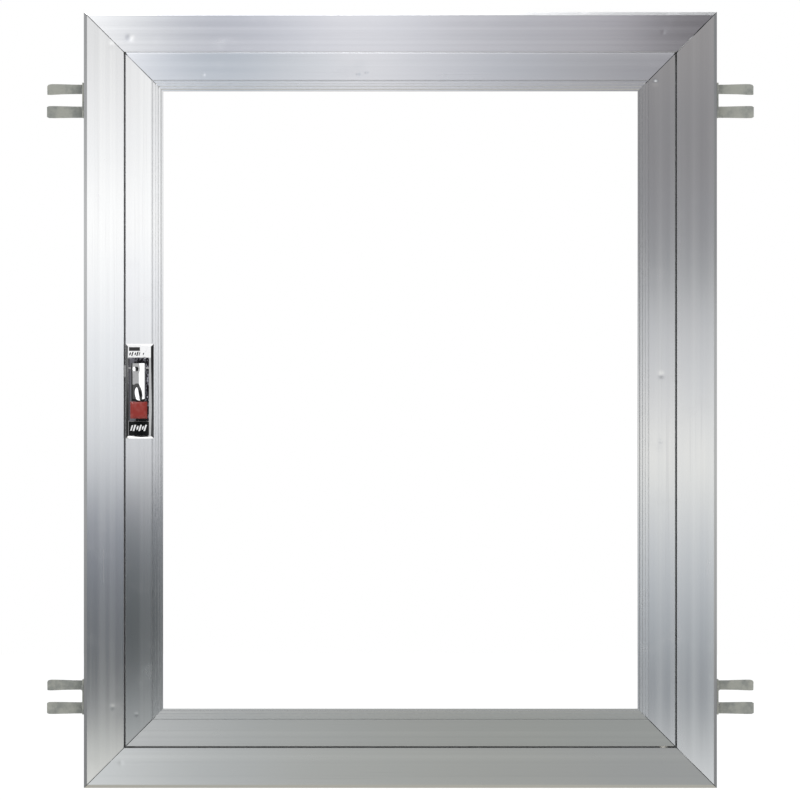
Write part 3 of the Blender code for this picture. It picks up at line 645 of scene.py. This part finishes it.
def make_latch_body(skin, recess_painted_shade_skin, print_and_reflection_finish):
    """The CAD bezel and pan, with two black fields that paint a dark reflection, darker chrome in the pan
    that paints shade, and rows of plain strokes; returns what is lit.
    """
    top = (LATCH[0].y - FRONT) / MM
    bm = welded_copy("latch_body")
    for left, right, low, high in (LOWER_PAD, UPPER_BAND):
        tool = block(latch_place(left, top - AHEAD, low), latch_place(right, top + PAD_DEPTH, high))
        bm = apply_boolean(bm, tool, "DIFFERENCE")
    tool = signs(UPPER_SIGNS, UPPER_SIGNS_HEIGHT, top - AHEAD, top + SIGN_DEPTH)
    bm = apply_boolean(bm, tool, "DIFFERENCE")
    body = stand_in("latch_body", bm, skin, PART_EDGE)
    # The faces of the pan take the darker chrome: painted shade in the recess
    body.data.materials.append(recess_painted_shade_skin)
    left, right, bottom, up = PAN
    low, high = latch_place(left, top + PAN_START, bottom), latch_place(right, PAN_END, up)
    for face in body.data.polygons:
        if all(l < c < h for l, c, h in zip(low, face.center, high)):
            face.material_index = 1
    # Black fields in the two hollows: painted dark reflection on the bezel's face
    fields = bmesh.new()
    for left, right, bottom, up in (LOWER_PAD, UPPER_BAND):
        part = block(
            latch_place(left + CLEAR, top + CLEAR, bottom + CLEAR),
            latch_place(right - CLEAR, top + PAD_DEPTH - CLEAR, up - CLEAR),
        )
        mesh = bpy.data.meshes.new("fill")
        part.to_mesh(mesh)
        part.free()
        fields.from_mesh(mesh)
    painted_reflection_fields = new_piece("latch_painted_reflection", fields, print_and_reflection_finish, "door", edge=FIELD_EDGE)
    inlay = signs(UPPER_SIGNS, UPPER_SIGNS_HEIGHT, top + CLEAR, top + SIGN_DEPTH)
    new_piece("latch_upper_signs", inlay, print_and_reflection_finish, "door")
    raised = signs(LOWER_SIGNS, LOWER_SIGNS_HEIGHT, top, top + SIGN_RISE)
    strokes = new_piece("latch_lower_signs", raised, skin, "door", edge=SIGN_EDGE)
    return body, painted_reflection_fields, strokes


# How far back the paddle's and the button's fronts are replaced, and the overlap of old and new
PADDLE_SPLIT = FRONT - 0.5 * MM
BUTTON_SPLIT = FRONT - 0.2 * MM
SPLIT_OVERLAP = 0.2 * MM
CUTTER_MARGIN = 10 * MM


def formed_front(name, split, depth_at, skin, across, up):
    """Swap a node's front for a grid, depth_at(u, w) mm deep: u is -1 to 1 across and w is 0 to 1 up."""
    low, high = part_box(name)
    middle = (low.x + high.x) / 2
    half = (high.x - low.x) / 2
    bm = bmesh.new()
    rows = []
    for j in range(up + 1):
        w = j / up
        row = []
        for i in range(across + 1):
            u = -1 + 2 * i / across
            depth = depth_at(u, w) * MM
            row.append(bm.verts.new((middle + u * half, low.y + depth, low.z + w * (high.z - low.z))))
        rows.append(row)
    for lower, upper in zip(rows, rows[1:]):
        for i in range(across):
            bm.faces.new((lower[i], lower[i + 1], upper[i + 1], upper[i]))
    rim = [edge for edge in bm.edges if edge.is_boundary]
    sides = bmesh.ops.extrude_edge_only(bm, edges=rim)["geom"]
    for item in sides:
        if isinstance(item, bmesh.types.BMVert):
            item.co.y = split + SPLIT_OVERLAP
    bmesh.ops.contextual_create(bm, geom=[edge for edge in bm.edges if edge.is_boundary])
    bmesh.ops.recalc_face_normals(bm, faces=bm.faces)
    margin = Vector((1, 1, 1)) * CUTTER_MARGIN
    ahead = block(low - margin, Vector((high.x + CUTTER_MARGIN, split, high.z + CUTTER_MARGIN)))
    rear = apply_boolean(welded_copy(name), ahead, "DIFFERENCE")
    return stand_in(name, apply_boolean(rear, bm, "UNION"), skin, FORMED_EDGE)


def hump(value, centre, width):
    """A round hump, 1 high at its centre."""
    return math.exp(-((value - centre) / width) ** 2)


PADDLE_DEEPEST = 1.35


def paddle_depth(u, w):
    """Crowned finger plate with a rolled lower end, a dish at its upper left and a hooked hollow, in mm."""
    crown = 0.45 * u * u + 0.5 * max(0.0, abs(u) - 0.86) / 0.14
    roll = 0.5 * (max(0.0, 0.12 - w) / 0.12) ** 2
    brow = 0.6 * max(0.0, w - 0.93) / 0.07
    dish = 0.7 * hump(u, -0.35, 0.3) * hump(w, 0.85, 0.07)
    swoosh = -0.1 + 0.75 * (0.42 - w)
    hook = 0.95 * hump(u, swoosh, 0.30) * hump(w, 0.19, 0.13)
    return min(crown + roll + brow + dish + hook, PADDLE_DEEPEST)


RIM_SQUARENESS = 8
RIM_START = 0.7


def button_depth(u, w):
    """Slightly hollow face with a broad rounded rim, in mm."""
    v = 2 * w - 1
    reach = min(1.0, (u ** RIM_SQUARENESS + v ** RIM_SQUARENESS) ** (1 / RIM_SQUARENESS))
    rim = 0.95 * (max(0.0, reach - RIM_START) / (1 - RIM_START)) ** 1.6
    return 0.12 + rim - 0.12 * (u * u + v * v) / 2


# ---------------------------------------------------------------- stage

PANEL_DISTANCE = 0.8
PANEL_SIDE = 3.2
# The places of a panel's stops run from minus this to plus this
PROFILE_HALF = 0.5


def make_world():
    """White to the camera; to everything else a soft room, dim in front where the panels are."""
    world = bpy.data.worlds.new("studio")
    bpy.context.scene.world = world
    world.use_nodes = True
    tree = world.node_tree
    graph = Graph(tree)
    background = tree.nodes["Background"]
    way = graph.add("ShaderNodeTexCoord").outputs["Generated"]
    split = graph.add("ShaderNodeSeparateXYZ")
    graph.link(way, split.inputs[0])
    # Dim ahead of the frame, brighter to the sides, and a little more behind, above and below
    level = graph.smooth(split.outputs["Y"], -0.85, -0.25, 0.02, 0.22)
    level = graph.math("ADD", level, graph.smooth(split.outputs["Y"], 0.0, 0.8, 0.0, 0.08))
    level = graph.math("ADD", level, graph.smooth(split.outputs["Z"], 0.3, 1.0, 0.0, 0.12))
    level = graph.math("ADD", level, graph.smooth(split.outputs["Z"], -0.5, -0.9, 0.0, 0.24))
    seen = graph.add("ShaderNodeLightPath").outputs["Is Camera Ray"]
    low = graph.smooth(split.outputs["Z"], -0.2, -0.8)
    tint = graph.mix(low, (0.97, 0.985, 1.0, 1), (1.0, 0.97, 0.86, 1))
    graph.link(graph.mix(seen, tint, (1, 1, 1, 1)), background.inputs["Color"])
    shade = graph.math("MULTIPLY", graph.math("SUBTRACT", 1.0, seen), level)
    graph.link(graph.math("ADD", shade, seen), background.inputs["Strength"])


# What the pieces mirror in their panels: (place along X or Z, level, red tint, blue tint)
SURROUND_LEFT = (
    (-0.40, 0.85, 0.99, 0.95), (-0.35, 0.60, 0.99, 0.96), (-0.32, 0.13, 0.95, 1.06),
    (-0.27, 0.10, 0.91, 1.08), (-0.21, 0.15, 0.92, 1.12), (-0.15, 0.22, 0.93, 1.16),
    (-0.11, 0.30, 0.94, 1.13), (-0.07, 0.72, 0.98, 1.03), (0.03, 0.88, 0.98, 1.02),
    (0.13, 1.06, 1.0, 1.0), (0.19, 1.18, 1.0, 0.98), (0.25, 1.0, 1.0, 1.0), (0.38, 0.80, 1.0, 1.0),
)
LEAF_LEFT = (
    (-0.38, 0.62, 0.97, 0.98), (-0.32, 0.26, 0.93, 1.04), (-0.27, 0.05, 0.87, 1.05),
    (-0.21, 0.08, 0.87, 1.05), (-0.15, 0.14, 0.90, 1.10), (-0.11, 0.20, 0.94, 1.12),
    (-0.07, 0.74, 0.99, 1.03), (0.03, 0.86, 0.99, 1.01), (0.13, 1.02, 1.0, 1.02),
    (0.19, 1.18, 1.0, 0.98), (0.25, 1.0, 1.0, 1.0), (0.35, 0.88, 1.0, 1.0),
)
BOTH_RIGHT = (
    (-0.40, 0.80, 0.98, 1.0), (-0.35, 0.50, 0.97, 1.01), (-0.31, 0.22, 0.93, 1.09),
    (-0.23, 0.44, 0.94, 1.06), (-0.15, 0.62, 0.96, 1.04), (-0.11, 0.73, 0.98, 1.0),
    (-0.06, 0.98, 1.01, 0.95), (0.01, 0.68, 0.99, 1.02), (0.09, 0.58, 0.99, 1.02),
    (0.13, 0.30, 0.97, 1.04), (0.19, 0.27, 1.01, 1.05), (0.27, 0.24, 1.02, 1.03),
    (0.38, 0.31, 1.04, 1.0),
)
SURROUND_TOP = (
    (-0.33, 0.95, 1.0, 1.0), (-0.28, 0.69, 0.99, 1.02), (-0.25, 0.54, 0.97, 1.07),
    (-0.21, 0.37, 0.98, 1.12), (-0.17, 0.41, 0.98, 1.12), (-0.09, 0.59, 0.99, 1.07),
    (-0.05, 0.70, 1.01, 1.04), (0.0, 0.62, 1.0, 1.05), (0.07, 0.45, 1.0, 1.08),
    (0.15, 0.38, 1.01, 1.07), (0.23, 0.36, 1.03, 1.07), (0.28, 0.12, 1.06, 1.07),
)
LEAF_TOP = (
    (-0.29, 1.0, 0.99, 1.03), (-0.25, 0.70, 0.95, 1.10), (-0.21, 0.46, 0.91, 1.12),
    (-0.17, 0.51, 0.91, 1.12), (-0.09, 0.72, 0.98, 1.04), (-0.04, 0.87, 1.01, 1.03),
    (0.03, 0.66, 0.99, 1.06), (0.11, 0.50, 0.97, 1.09), (0.19, 0.40, 1.0, 1.06),
    (0.28, 0.30, 1.02, 1.07),
)
SURROUND_BOTTOM = (
    (-0.33, 0.74, 0.97, 1.0), (-0.27, 0.60, 0.97, 1.0), (-0.21, 0.49, 0.97, 0.99),
    (-0.05, 0.42, 0.98, 0.95), (0.11, 0.38, 0.98, 0.95), (0.27, 0.36, 0.98, 0.98),
)
LEAF_BOTTOM = (
    (-0.29, 0.58, 0.98, 1.0), (-0.25, 0.50, 0.97, 1.0), (-0.13, 0.41, 0.97, 0.97),
    (0.03, 0.36, 0.98, 0.95), (0.11, 0.345, 0.97, 0.94), (0.27, 0.34, 0.97, 0.96),
)
LEFT_SIDE = (
    (-0.40, 0.02, 1.0, 1.0), (-0.22, 0.02, 1.0, 1.0), (-0.08, 0.16, 1.0, 1.0), (0.05, 0.30, 1.0, 1.0),
    (0.16, 0.34, 1.0, 1.0), (0.30, 0.16, 1.0, 1.0), (0.40, 0.12, 1.0, 1.0),
)
RIGHT_SIDE = (
    (-0.40, 0.04, 0.99, 0.96), (-0.30, 0.05, 0.99, 0.96), (-0.18, 0.20, 1.0, 0.96), (-0.06, 0.30, 1.0, 0.96),
    (0.06, 0.24, 1.0, 0.98), (0.16, 0.06, 1.0, 1.0), (0.40, 0.03, 1.0, 1.0),
)
BACK = (
    (-0.42, 0.06, 1.0, 1.03), (-0.20, 0.22, 1.0, 1.02), (0.05, 0.10, 1.0, 1.03), (0.22, 0.42, 1.0, 1.0),
    (0.42, 0.55, 1.0, 1.0),
)
ROOM = ((-0.4, 0.62, 1.0, 1.0), (0.4, 0.65, 1.0, 1.0))
# Where a panel brightens upwards: the heights at which that starts and ends, and the gain
SURROUND_TOP_RIM = (0.41, 0.56, 1.8)
LEAF_TOP_RIM = (0.9, 1.2, 1.1)


# A new colour ramp has this many stops
DEFAULT_STOPS = 2


def link_light(obj, lit):
    """Let a light fall on the given objects only."""
    receivers = bpy.data.collections.new(obj.name + "_lights")
    for receiver in lit:
        receivers.objects.link(receiver)
    obj.light_linking.receiver_collection = receivers


def area_light(name, place, aim, size, level):
    """Rectangular light of an even radiance, aimed at a point and unseen by the camera."""
    light = bpy.data.lights.new(name, "AREA")
    light.shape = "RECTANGLE"
    light.size, light.size_y = size
    light.energy = level * math.pi * size[0] * size[1]
    obj = bpy.data.objects.new(name, light)
    bpy.context.scene.collection.objects.link(obj)
    obj.location = place
    obj.rotation_euler = (Vector(aim) - Vector(place)).to_track_quat("-Z", "Y").to_euler()
    obj.visible_camera = False
    return obj


def graded_panel(name, stops, along, lit, rim=None, side=(0, -1, 0)):
    """A large soft panel on one side of the frame, graded along X or Z for the pieces that it lights."""
    away = Vector(side)
    obj = area_light(name, away * (PANEL_DISTANCE - FRONT), (0, 0, 0), (PANEL_SIDE, PANEL_SIDE), 1.0)
    link_light(obj, lit)
    light = obj.data
    light.use_nodes = True
    graph = Graph(light.node_tree)
    glow = light.node_tree.nodes["Emission"]
    split = graph.add("ShaderNodeSeparateXYZ")
    graph.link(graph.add("ShaderNodeNewGeometry").outputs["Position"], split.inputs[0])
    # The camera sees a place on the panel mirrored in the frame, nearer to its middle by this ratio
    spread = (CAMERA_DISTANCE + PANEL_DISTANCE) / CAMERA_DISTANCE
    ramp = graph.add("ShaderNodeValToRGB")
    ramp.color_ramp.interpolation = "EASE"
    elements = ramp.color_ramp.elements
    for number, (place, level, red, blue) in enumerate(stops):
        position = place / (2 * PROFILE_HALF) + 0.5
        element = elements[number] if number < DEFAULT_STOPS else elements.new(position)
        element.position = position
        element.color = (level * red, level, level * blue, 1)
    scaled = graph.math("DIVIDE", split.outputs[along], spread * 2 * PROFILE_HALF)
    graph.link(graph.math("ADD", scaled, 0.5, clamp=True), ramp.inputs["Fac"])
    graph.link(ramp.outputs["Color"], glow.inputs["Color"])
    if rim:
        start, end, gain = rim
        graph.link(graph.smooth(split.outputs["Z"], start, end, 1.0, gain), glow.inputs["Strength"])


FLOOR_RADIUS = 3.0
FLOOR_MIDDLE = 0.2
FLOOR_GAP = 2 * MM


def make_floor():
    """A pale disc just below the frame."""
    mesh = bpy.data.meshes.new("floor")
    bm = bmesh.new()
    bmesh.ops.create_circle(bm, cap_ends=True, segments=96, radius=FLOOR_RADIUS)
    bm.to_mesh(mesh)
    bm.free()
    floor = bpy.data.objects.new("floor", mesh)
    bpy.context.scene.collection.objects.link(floor)
    floor.location = (0, FLOOR_MIDDLE, -HALF_HEIGHT - FLOOR_GAP)
    floor.visible_glossy = False
    made = bpy.data.materials.new("pale_floor")
    made.use_nodes = True
    shader = made.node_tree.nodes["Principled BSDF"]
    shader.inputs["Base Color"].default_value = (0.92, 0.92, 0.92, 1)
    shader.inputs["Roughness"].default_value = 0.9
    shader.inputs["Emission Color"].default_value = (1, 1, 1, 1)
    shader.inputs["Emission Strength"].default_value = 0.8
    mesh.materials.append(made)


LATCH_LIGHT_GAP = 0.06
# Panels close to the latch: name, left, right, low and high in millimetres, level and what it lights
LATCH_PANELS = (
    ("latch_top_panel", -40, 30, 44, 150, 1.0, "body"),
    ("latch_side_panel", 6, 30, -80, 44, 0.55, "body"),
    ("latch_left_panel", -34, -8, -80, 44, 0.22, "body"),
    ("latch_low_panel", -18, 18, -150, -80, 1.2, "body"),
    ("sign_panel", -30, 30, -60, 20, 0.9, "strokes"),
    ("paddle_panel", -2, 45, -12, 70, 1.4, "paddle"),
    ("paddle_dim_panel", -21, -2, 16, 70, 0.45, "paddle"),
    ("paddle_low_panel", -21, -2, -12, 16, 0.07, "paddle"),
)
# Lights that stand free: place, size and level
BUTTON_LIGHT = ((-0.7, -0.8, 0.7), (0.3, 0.3), 22)
OVERHEAD_LIGHT = ((-0.30, -0.35, 2.2), (1.6, 1.2), 2.4)


def light_latch(lit):
    """Small bright panels close in front of the latch, which nothing else mirrors."""
    middle = (LATCH[0] + LATCH[1]) / 2
    plane = FRONT - LATCH_LIGHT_GAP
    for name, left, right, low, high, level, receivers in LATCH_PANELS:
        place = Vector((middle.x + (left + right) * MM / 2, plane, (low + high) * MM / 2))
        size = ((right - left) * MM, (high - low) * MM)
        link_light(area_light(name, place, place + Vector((0, 1, 0)), size, level), lit[receivers])


def light_bars(made, latch):
    """The panels that the bars mirror, then those for the other pieces, the outer sides and the back."""
    def panel(name, stops, along, *lit, **settings):
        graded_panel(name, stops, along, [made[node] for node in lit], **settings)

    panel("left_panel", SURROUND_LEFT, "Z", "surround_left_stile")
    panel("left_leaf_panel", LEAF_LEFT, "Z", "door_left_stile", "door_bead_left")
    panel("right_panel", BOTH_RIGHT, "Z", "surround_right_stile", "door_right_stile", "door_bead_right")
    panel("top_panel", SURROUND_TOP, "X", "surround_top_rail", rim=SURROUND_TOP_RIM)
    panel("top_leaf_panel", LEAF_TOP, "X", "door_top_rail", rim=LEAF_TOP_RIM)
    panel("top_bead_panel", LEAF_TOP, "X", "door_bead_top")
    panel("bottom_panel", SURROUND_BOTTOM, "X", "surround_bottom_rail")
    panel("bottom_leaf_panel", LEAF_BOTTOM, "X", "door_bottom_rail", "door_bead_bottom")
    others = [node for node in made if SLOT_OF[node] != "extruded_aluminium"]
    panel("room_panel", ROOM, "Z", *others)
    panel("left_side_panel", LEFT_SIDE, "Z", "surround_left_stile", side=(-1, 0, 0))
    panel("right_side_panel", RIGHT_SIDE, "Z", "surround_right_stile", side=(1, 0, 0))
    graded_panel("back_panel", BACK, "Z", [*made.values(), *latch], side=(0, 1, 0))


# ---------------------------------------------------------------- build

def make_frame():
    """Dress the plain parts, put finer copies in place of the bars and springs, and return all by node."""
    bars = {"X": extruded_aluminium("extruded_rail", "X"), "Z": extruded_aluminium("extruded_stile", "Z")}
    # The bars' inside finish paints shade into their slots and hollows, besides dull oxide
    inside = dull_oxide_and_painted_shade()
    skins = {
        "cast_aluminium": cast_aluminium(),
        "galvanised_sheet": galvanised_sheet(),
        "zinc_plate": zinc_plate(),
        "bright_steel": bright_steel(),
        "nylon": nylon(),
    }
    made = {row[0]: shortening_spring(*row, skins["bright_steel"]) for row in SPRINGS}
    for name, obj in NODES.items():
        slot = SLOT_OF[name]
        if slot == "extruded_aluminium":
            made[name] = worn_bar(name, bars["X" if name.endswith(ACROSS) else "Z"], inside)
        elif slot in skins and name not in made:
            dress(obj, skins[slot], PART_EDGE)
            made[name] = obj
    return made


def main():
    bpy.context.scene.view_settings.view_transform = "Standard"
    make_camera()
    make_world()
    make_floor()
    made = make_frame()
    bright = chrome("chrome_skin", (0.90, 0.905, 0.915), wave_height=0.25 * MM, haze_rough=0.10)
    # The pan's chrome is darker and bluer than the bezel's: painted shade in the recess behind the paddle
    # and the button
    recess_painted_shade = chrome("chrome_recess_painted_shade_skin", (0.55, 0.55, 0.62), wave_height=0.6 * MM, haze_rough=0.2)
    # The black fields on the latch are painted dark reflection; its upper strokes are dark print
    body, painted_reflection_fields, strokes = make_latch_body(bright, recess_painted_shade, dark_print_and_painted_reflection())
    paddle = formed_front("latch_paddle", PADDLE_SPLIT, paddle_depth, bright, across=24, up=48)
    button = formed_front("latch_button", BUTTON_SPLIT, button_depth, red_plastic(), across=24, up=24)

    light_bars(made, [body, paddle, button])
    place, size, level = BUTTON_LIGHT
    button_middle = sum(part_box("latch_button"), Vector()) / 2
    link_light(area_light("button_light", place, button_middle, size, level), [button])
    light_latch({"body": [body, painted_reflection_fields], "strokes": [strokes], "paddle": [paddle]})
    place, size, level = OVERHEAD_LIGHT
    overhead = area_light("overhead", place, (0, 0, 0), size, level)
    link_light(overhead, [made["surround_top_rail"], made["door_top_rail"], button])


main()
